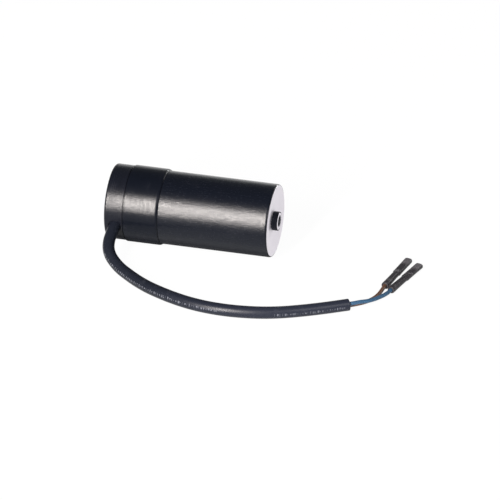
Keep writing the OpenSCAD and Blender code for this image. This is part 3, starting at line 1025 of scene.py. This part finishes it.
@dataclass
class Body:
    """Sizes of the capacitor's body that several pieces share."""

    axis_z: float
    cap_start: float
    cap_end: float
    skirt_r: float
    sleeve_start: float
    sleeve_r: float
    can_start: float
    base_x: float
    rim_x: float
    boss_end: float
    collar_end: float
    collar_r: float
    thread_r: float
    sleeve_t: float = 0.4 * MM
    edge_r: float = 1.4 * MM
    film_end_t: float = 0.12 * MM
    taper: float = 3.0 * MM

    @classmethod
    def from_frame(cls, dish_h: float = 1.1 * MM, dish_more: float = 0.25 * MM, boss_less: float = 0.2 * MM,
                   collar_more: float = 0.2 * MM, skirt_more: float = 0.5 * MM) -> "Body":
        """Read the sizes from the frame's boxes and mounts.

        Args:
            dish_h: height of the base's rim above its solid's dished face.
            dish_more: how much deeper the dish is than its solid.
            boss_less: how much lower the boss is than its solid.
            collar_more: how much the collar is proud of its solid.
            skirt_more: how much further the skirt goes than its solid.

        Returns:
            The body's sizes.
        """
        cap, sleeve, can, collar = (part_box(node) for node in ("end_cap", "can_sleeve", "can", "boss_collar"))
        thread = next(m for m in frame["record"]["mounts"] if m["name"] == "base_thread")
        return cls(
            axis_z=thread["pos_m"][2], thread_r=thread["dims"]["r_mm"] * MM,
            cap_start=cap[0].x, cap_end=cap[1].x + skirt_more, skirt_r=(cap[1].y - cap[0].y) / 2,
            sleeve_start=sleeve[0].x, sleeve_r=(sleeve[1].y - sleeve[0].y) / 2,
            can_start=can[0].x, boss_end=can[1].x - boss_less,
            base_x=collar[0].x - dish_more, rim_x=collar[0].x + dish_h,
            collar_end=collar[1].x, collar_r=(collar[1].y - collar[0].y) / 2 + collar_more,
        )

    @property
    def can_r(self) -> float:
        """Radius of the can under its film."""
        return self.sleeve_r - self.sleeve_t

    @property
    def edge_top(self) -> float:
        """Radius of the can where its film runs out thin, at the edge of the base."""
        return self.sleeve_r - self.film_end_t

    @property
    def edge_middle(self) -> tuple[float, float]:
        """Place along the axis and radius of the middle of the base's rounded edge."""
        return (self.rim_x - self.edge_r, self.edge_top - self.edge_r)


@dataclass
class EndCap:
    """Moulded cap: a crown with the cable's hole, a parting groove and a skirt over the can."""

    body: Body
    crown_finish: PlasticFinish = CROWN
    skirt_finish: PlasticFinish = SKIRT
    crown_h: float = 10.75 * MM
    crown_step: float = 0.45 * MM
    end_t: float = 1.4 * MM
    crown_wall: float = 1.4 * MM
    crown_edge: float = 1.0 * MM
    skirt_wall: float = 1.0 * MM
    skirt_edge: float = 0.18 * MM
    rim_edge: float = 0.85 * MM
    rim_run: float = 1.6 * MM
    shoulder_t: float = 1.0 * MM
    groove: float = 0.5 * MM
    cable_clear: float = 0.15 * MM

    def outline(self) -> Outline:
        """Draw the cap's section.

        Returns:
            The outline, from axis to axis.
        """
        b = self.body
        crown_r = b.skirt_r - self.crown_step
        bore_r = b.skirt_r - self.skirt_wall
        parting = b.cap_start + self.crown_h
        edge, rim, lip = self.crown_edge, self.rim_edge, self.skirt_edge
        stretch = self.rim_run / rim
        rounded = arc((b.cap_end - rim, b.skirt_r - rim), rim, 90, 0)
        return [
            (b.cap_start, 0.0),
            *arc((b.cap_start + edge, crown_r - edge), edge, 180, 90),
            *arc((parting - self.groove - lip, crown_r - lip), lip, 90, 0, steps=4),
            (parting - self.groove, crown_r - self.groove),
            (parting, crown_r - self.groove),
            *arc((parting + lip, b.skirt_r - lip), lip, 180, 90, steps=4),
            *[(b.cap_end - (b.cap_end - x) * stretch, radius) for x, radius in rounded],
            (b.cap_end, bore_r),
            (parting + self.shoulder_t, bore_r),
            (parting + self.shoulder_t, crown_r - self.crown_wall),
            (b.cap_start + self.end_t, crown_r - self.crown_wall),
            (b.cap_start + self.end_t, 0.0),
        ]

    def build(self, cable: "Lead") -> None:
        """Turn the cap, drill the cable's hole and dress the crown and skirt.

        Args:
            cable: the lead that leaves through the crown.
        """
        piece = turned_piece("moulded_cap", self.outline(), self.body.axis_z, self.skirt_finish.material())
        drill = cable.drill(self.cable_clear)
        cut = piece.modifiers.new("cable_hole", "BOOLEAN")
        cut.operation = "DIFFERENCE"
        cut.object = drill
        cut.solver = "EXACT"
        take_result(piece, cut)
        bpy.data.objects.remove(drill)
        tidy_mesh(piece.data)
        self.dress(piece.data)
        keep(piece, "cap_black", "end_cap")

    def dress(self, mesh: bpy.types.Mesh) -> None:
        """Give the skirt and the crown their finishes, which meet in the groove.

        Args:
            mesh: the cap's mesh.
        """
        mesh.materials.clear()
        for finish in (self.skirt_finish, self.crown_finish):
            mesh.materials.append(finish.material())
        parting = self.body.cap_start + self.crown_h - self.groove / 2
        for face in mesh.polygons:
            face.material_index = 1 if face.center.x < parting else 0


@dataclass
class CanSleeve:
    """Black film shrunk over the can and a little way round the edge of its base."""

    body: Body
    finish: PlasticFinish = FILM
    squeeze: float = 0.25 * MM
    wrap: float = 49.0
    skirt_gap: float = 0.1 * MM

    def outline(self) -> Outline:
        """Draw the film's section, thinner where it follows the rounded edge of the base.

        Returns:
            The outline, round the section.
        """
        b = self.body
        middle = b.edge_middle
        step_x = b.cap_end + self.skirt_gap
        return [
            (b.sleeve_start, b.can_r),
            (b.sleeve_start, b.sleeve_r - self.squeeze),
            (step_x, b.sleeve_r - self.squeeze),
            (step_x, b.sleeve_r),
            *arc(middle, b.edge_r + b.film_end_t, 90, 90 - self.wrap),
            *arc(middle, b.edge_r, 90 - self.wrap, 90),
            (middle[0] - b.taper / 2, b.edge_top),
            (middle[0] - b.taper, b.can_r),
        ]

    def build(self) -> None:
        """Turn the film."""
        piece = turned_piece("shrunk_sleeve", self.outline(), self.body.axis_z, self.finish.material())
        keep(piece, "sleeve_black", "can_sleeve")


@dataclass
class Can:
    """Drawn can with its rolled rim, bead, bare dished base, boss and thread."""

    body: Body
    colour: Colour = screen(237, 233, 239)
    ring_colour: Colour = screen(225, 220, 227)
    # Colour of the painted shade in the threaded hole.
    hole_shade_colour: Colour = screen(92, 92, 98)
    wall: float = 0.6 * MM
    base_t: float = 0.95 * MM
    dish_land: float = 0.5 * MM
    dish_flat: float = 2.0 * MM
    rim_lip: float = 2.8 * MM
    bead_x: float = -28.3 * MM
    bead_r: float = 1.2 * MM
    boss_r: float = 4.7 * MM
    boss_fillet: float = 0.25 * MM
    hole_depth: float = 5.0 * MM
    hole_margin: float = 0.1 * MM
    thread_height: float = 0.4 * MM
    thread_pitch: float = 1.0 * MM
    mouth: float = 0.9 * MM
    pad_h: float = 1.4 * MM
    pad_r: float = 6.0 * MM

    @property
    def valley_r(self) -> float:
        """Radius of the thread's valleys."""
        return self.body.thread_r + self.thread_height

    def dish(self, rim_r: float, steps: int = 14) -> Outline:
        """Draw the section of the dished face.

        Args:
            rim_r: radius at which the face starts to fall from the rim.
            steps: number of chords.

        Returns:
            Points from the rim to the flat ring round the boss.
        """
        b = self.body
        flat_r = self.boss_r + self.dish_flat
        drop = b.rim_x - b.base_x
        shares = [i / steps for i in range(steps + 1)]
        falls = [drop * (1 - math.cos(math.pi * t)) / 2 for t in shares]
        return [(b.rim_x - fall, rim_r + (flat_r - rim_r) * t) for fall, t in zip(falls, shares)]

    def outline(self) -> Outline:
        """Draw the can's section.

        Returns:
            The outline, from axis to axis.
        """
        b = self.body
        middle = b.edge_middle
        floor_x = b.boss_end - self.hole_depth
        fillet = self.boss_fillet
        inside = b.base_x - self.base_t
        bead = (self.bead_x, b.can_r)
        inner_bead = self.bead_r + self.wall
        dip = math.degrees(math.asin(self.wall / inner_bead))
        return [
            (inside - self.pad_h, 0.0),
            (inside - self.pad_h, self.pad_r),
            (inside, self.pad_r),
            (inside, b.can_r - self.wall),
            *arc(bead, inner_bead, 360 - dip, 180 + dip, steps=12),
            (b.can_start + self.wall, b.can_r - self.wall),
            (b.can_start + self.wall, b.can_r - self.rim_lip),
            (b.can_start, b.can_r - self.rim_lip),
            (b.can_start, b.can_r - self.wall / 2),
            (b.can_start + self.wall / 2, b.can_r),
            *arc(bead, self.bead_r, 180, 360, steps=12),
            (middle[0] - b.taper, b.can_r),
            (middle[0] - b.taper / 2, b.edge_top),
            *arc(middle, b.edge_r, 90, 0, steps=12),
            *self.dish(middle[1] - self.dish_land),
            (b.base_x, self.boss_r),
            *arc((b.boss_end - fillet, self.boss_r - fillet), fillet, 90, 0, steps=4),
            (b.boss_end, self.valley_r + self.mouth / 2),
            (b.boss_end - self.mouth / 2, self.valley_r),
            (floor_x, self.valley_r),
            (floor_x, 0.0),
        ]

    def finish(self) -> MetalFinish:
        """Make the can's finish, with painted shade from the mouth of the hole to just under its floor.

        Returns:
            The finish.
        """
        mouth_r = self.valley_r + self.mouth / 2
        floor_x = self.body.boss_end - self.hole_depth - self.hole_margin
        return MetalFinish("can_aluminium", self.colour, self.ring_colour, self.hole_shade_colour, self.body.axis_z,
                           mouth_r, floor_x)

    def build(self) -> None:
        """Turn the can and wind the thread in its boss."""
        b = self.body
        material = self.finish().material()
        piece = turned_piece("drawn_can", self.outline(), b.axis_z, material)
        keep(piece, "can_metal", "can")
        length = self.hole_depth - self.mouth
        start = (b.boss_end - self.hole_depth + self.thread_pitch / 4, 0.0, b.axis_z)
        thread = TREES.run(Tree.THREAD, "boss_thread", bpy.data.meshes.new("boss_thread"),
                           Radius=self.valley_r, Depth=length - self.thread_pitch / 2,
                           Turns=length / self.thread_pitch, Ridge=self.thread_height, Start=start,
                           Material=material)
        tidy_mesh(thread.data)
        keep(thread, "can_metal")


@dataclass
class BossCollar:
    """Black collar round the boss."""

    body: Body
    finish: PlasticFinish = COLLAR
    wall: float = 0.5 * MM
    edge: float = 0.12 * MM
    segments: int = 96

    def build(self) -> None:
        """Turn the collar."""
        b = self.body
        outline = [
            (b.base_x, b.collar_r - self.wall),
            (b.base_x, b.collar_r),
            *arc((b.collar_end - self.edge, b.collar_r - self.edge), self.edge, 90, 0, steps=4),
            (b.collar_end, b.collar_r - self.wall),
        ]
        piece = turned_piece("boss_collar_ring", outline, b.axis_z, self.finish.material(), self.segments)
        keep(piece, "collar_black", "boss_collar")


# The lead

@dataclass
class Cord:
    """One free cord: its route in millimetres, its thickness and its look."""

    name: str
    node: str
    slot: str
    route: tuple[Point, ...]
    diameter: float
    finish: PlasticFinish | JacketFinish
    sides: int = 32
    step: float = 0.8 * MM
    cut_edge: float = 0.25 * MM
    cut_draw: float = 0.06
    swell: float = 0.0

    def line(self) -> list[Vector]:
        """Lay the cord's centre line, with one more point where the broken edge of its cut end starts.

        Returns:
            The line in metres.
        """
        line = smooth_line([tuple(v * MM for v in p) for p in self.route], self.step)
        line.insert(-1, line[-1] + (line[-2] - line[-1]).normalized() * self.cut_edge)
        return line

    def girth(self, line: Sequence[Vector]) -> list[float]:
        """Give the thickness at each point: a slow swell along the cord and a broken edge at its cut end.

        Args:
            line: the centre line.

        Returns:
            Shares of the diameter.
        """
        total = line_length(line)
        run = 0.0
        girths = []
        for i, here in enumerate(line):
            run += (here - line[i - 1]).length if i else 0.0
            swell = 1.0 - self.swell * (1.0 + math.cos(2 * math.pi * run / total)) / 2
            left = total - run
            cut = 1.0 if left > self.cut_edge else 1.0 - self.cut_draw * (1.0 - left / self.cut_edge)
            girths.append(swell * cut)
        return girths

    def build(self) -> tuple[Object, list[Vector]]:
        """Sweep the cord.

        Returns:
            The cord and its centre line.
        """
        line = self.line()
        mesh = bpy.data.meshes.new(self.name)
        mesh.from_pydata(line, [(i, i + 1) for i in range(len(line) - 1)], [])
        girth = mesh.attributes.new("girth", "FLOAT", "POINT")
        girth.data.foreach_set("value", self.girth(line))
        piece = TREES.run(Tree.SWEPT, self.name, mesh, Diameter=self.diameter, Sides=self.sides,
                          Material=self.finish.material())
        piece.data.set_sharp_from_angle(angle=SHARP)
        keep(piece, self.slot, self.node)
        return piece, line


@dataclass
class PushOnTerminal:
    """Insulated push-on terminal: a belled grip on the core, a step and a flat oval front with its mouth."""

    name: str
    node: str
    contact: str
    finish: PlasticFinish = TERMINAL
    lap: float = 3.0 * MM
    bell_end: float = 3.0 * MM
    front_start: float = 12.4 * MM
    tip: float = 28.5 * MM
    bell_w: float = 4.25 * MM
    bell_h: float = 4.0 * MM
    grip_d: float = 3.9 * MM
    waist_d: float = 3.65 * MM
    front_w: float = 4.45 * MM
    front_h: float = 2.8 * MM
    core_d: float = 2.3 * MM
    mouth_w: float = 3.1 * MM
    mouth_h: float = 1.6 * MM
    edge: float = 0.35 * MM
    highlight_start: float = 20.5 * MM
    highlight_rise: float = 3.0 * MM
    highlight_slope: float = 1.6
    highlight_level: float = 0.2
    ring_points: int = 48

    def stations(self) -> list[tuple[float, float, float, float]]:
        """List the sections from the core's hole over the outside into the mouth.

        Returns:
            Place along the core, width, height and squareness of each section.
        """
        bell_w, bell_h, grip, waist, edge = self.bell_w, self.bell_h, self.grip_d, self.waist_d, self.edge
        front_w, front_h, back, front, tip = self.front_w, self.front_h, -self.lap, self.front_start, self.tip
        return [
            # Hole for the core
            (back + 2.2 * MM, self.core_d, self.core_d, 2.0),
            (back, self.core_d, self.core_d, 2.0),
            # Belled end
            (back, bell_w - 2 * edge, bell_h - 2 * edge, 2.0),
            (back + 0.3 * edge, bell_w - 0.6 * edge, bell_h - 0.6 * edge, 2.0),
            (back + edge, bell_w, bell_h, 2.0),
            (back + 1.6 * MM, bell_w, bell_h, 2.0),
            # Grip and waist
            (self.bell_end, grip + 0.06 * MM, grip + 0.06 * MM, 2.0),
            (self.bell_end + 1.5 * MM, grip, grip, 2.0),
            (front - 2.5 * MM, waist, waist * 0.98, 2.1),
            (front - 0.5 * MM, waist, waist * 0.96, 2.2),
            # Flat front
            (front, front_w - 0.1 * MM, front_h + 0.3 * MM, 2.7),
            (front + 0.45 * MM, front_w, front_h + 0.15 * MM, 2.9),
            (front + 3.5 * MM, front_w - 0.1 * MM, front_h, 2.9),
            (self.highlight_start, front_w - 0.1 * MM, front_h, 2.9),
            (self.highlight_start + self.highlight_rise, front_w - 0.1 * MM, front_h, 3.0),
            # Rounded tip
            (tip - 0.7 * MM, front_w - 0.1 * MM, front_h, 3.2),
            (tip - 0.2 * MM, front_w - 0.25 * MM, front_h - 0.12 * MM, 3.2),
            (tip, front_w - 0.6 * MM, front_h - 0.4 * MM, 3.2),
            # Mouth
            (tip, self.mouth_w, self.mouth_h, 4.0),
            (tip - 4.0 * MM, self.mouth_w, self.mouth_h, 4.0),
        ]

    def loft(self, work: bmesh.types.BMesh, line: Sequence[Vector]) -> None:
        """Make the rings of points, with the painted highlight on the top of the tip, and the faces between
        them.

        Args:
            work: mesh to fill.
            line: the core's centre line.
        """
        along = (line[-1] - line[-3]).normalized()
        across = Vector((0, 0, 1)).cross(along).normalized()
        up = along.cross(across)
        tip_highlight = work.verts.layers.float.new("tip_highlight")
        count = self.ring_points
        rings = []
        for place, width, height, square in self.stations():
            wear_and_highlight = unit((place - self.highlight_start) / self.highlight_rise)
            ring = []
            for k in range(count):
                c, s = math.cos(2 * math.pi * k / count), math.sin(2 * math.pi * k / count)
                y = math.copysign(abs(c) ** (2 / square), c) * width / 2
                z = math.copysign(abs(s) ** (2 / square), s) * height / 2
                point = work.verts.new(line[-1] + along * place + across * y + up * z)
                # The painted highlight lies on the top face of the tip.
                point[tip_highlight] = wear_and_highlight * unit(self.highlight_slope * s - self.highlight_level)
                ring.append(point)
            rings.append(ring)
        for near, far in zip(rings, rings[1:]):
            for k in range(count):
                n = (k + 1) % count
                work.faces.new((near[k], near[n], far[n], far[k]))
        work.faces.new(reversed(rings[0]))
        work.faces.new(rings[-1])

    def build(self, line: Sequence[Vector]) -> Object:
        """Loft the terminal on the end of its core.

        Args:
            line: the core's centre line.

        Returns:
            The finished terminal.
        """
        work = bmesh.new()
        self.loft(work, line)
        mesh = bpy.data.meshes.new(self.name)
        work.to_mesh(mesh)
        work.free()
        tidy_mesh(mesh)
        mesh.materials.append(self.finish.material())
        piece = place_object(self.name, mesh)
        keep(piece, "terminal_black", self.node)
        return piece


# Routes from the part's source, in millimetres
CABLE_ROUTE: tuple[Point, ...] = (
    (-40.7, -13.5, 17.7), (-40.7, -20, 16.2), (-41, -25, 14.5), (-41, -30, 12.4), (-40, -34.5, 10.2),
    (-37.7, -38.3, 8.1), (-34.5, -41.5, 6.4), (-30.3, -45, 5), (-25.5, -48.2, 4), (-20, -52.2, 3.5),
    (-12, -57.7, 3.4), (-4, -62, 3.4), (5, -66, 3.4), (15, -69.3, 3.4), (25, -71.2, 3.4), (35, -71.8, 3.4),
    (45, -71.2, 3.4), (55, -69.5, 3.4), (65, -66.4, 3.4), (75, -62, 3.4), (85, -56.8, 3.4),
    (97.8, -49.35, 3.4),
)
BLUE_ROUTE: tuple[Point, ...] = (
    (98.2125, -50.0587, 4.345), (99.509, -49.3041, 4.345), (103.1, -46.35, 4.1), (107, -42.7, 3.4),
    (109.5, -39.2, 2.9), (111.4, -35.8, 2.5), (113.1, -32.4, 2.2), (114.3, -29.3, 2.05), (115.15, -26, 2),
    (115.96, -23.11, 2),
)
BROWN_ROUTE: tuple[Point, ...] = (
    (97.3875, -48.6413, 2.455), (98.684, -47.8867, 2.455), (102.65, -44.7, 2.3), (106.4, -40.3, 2),
    (108.6, -35.9, 1.8), (109.85, -31.4, 1.75), (110.45, -26.8, 1.85), (110.95, -22.3, 2),
    (111.47, -19.35, 2),
)


@dataclass
class Lead:
    """Two-core lead: the jacket, the two cores and their terminals."""

    jacket: Cord
    cores: tuple[Cord, Cord]
    terminals: tuple[PushOnTerminal, PushOnTerminal]
    exit: Point = (-40.8 * MM, -20.3 * MM, 16.1 * MM)
    drill_length: float = 20 * MM
    drill_sides: int = 64

    def drill(self, clear: float) -> Object:
        """Make the cutter of the cable's hole in the crown.

        Args:
            clear: radial clearance round the cable.

        Returns:
            A rod along the first leg of the jacket's route.
        """
        first, second = (Vector(p) * MM for p in self.jacket.route[:2])
        along = (second - first).normalized()
        radius = self.jacket.diameter / 2 + clear
        turn = along.to_track_quat("Z", "Y").to_matrix().to_4x4()
        work = bmesh.new()
        bmesh.ops.create_cone(work, cap_ends=True, segments=self.drill_sides, radius1=radius, radius2=radius,
                              depth=self.drill_length,
                              matrix=Matrix.Translation(first + along * self.drill_length / 2) @ turn)
        mesh = bpy.data.meshes.new("cable_drill")
        work.to_mesh(mesh)
        work.free()
        return place_object("cable_drill", mesh)

    def build(self) -> None:
        cable, line = self.jacket.build()
        for core, terminal in zip(self.cores, self.terminals):
            piece, core_line = core.build()
            sleeve = terminal.build(core_line)


# Putting it together

def dress_inner_nodes() -> None:
    """Give each CAD node that stays its procedural material."""
    for entry in frame["record"]["subparts"]:
        node = frame["nodes"][entry["node"]]
        slot = entry["material_slot"]
        if node.hide_render or slot not in NODE_FINISHES:
            continue
        for index in range(len(node.data.materials)):
            node.data.materials[index] = NODE_FINISHES[slot].material()
        LOG.info("%s: CAD solid dressed as %s", node.name, slot)


def main() -> None:
    """Build the camera, the lead, the body and the studio in order."""
    logging.basicConfig(level=logging.INFO, format="%(name)s %(message)s")
    PhotoCamera().build()
    lead = Lead(
        Cord("lead_jacket", "cable_jacket", "jacket_black", CABLE_ROUTE, 6.8 * MM, JACKET, sides=48,
             swell=0.04),
        (Cord("blue_lead_core", "blue_core", "core_blue", BLUE_ROUTE, 2.2 * MM, BLUE),
         Cord("brown_lead_core", "brown_core", "core_brown", BROWN_ROUTE, 2.2 * MM, BROWN)),
        (PushOnTerminal("blue_push_on", "blue_terminal_sleeve", "blue_contact"),
         PushOnTerminal("brown_push_on", "brown_terminal_sleeve", "brown_contact")),
    )
    lead.build()
    body = Body.from_frame()
    EndCap(body).build(lead)
    CanSleeve(body).build()
    Can(body).build()
    BossCollar(body).build()
    dress_inner_nodes()
    Studio().build()


if __name__ == "__main__":
    main()
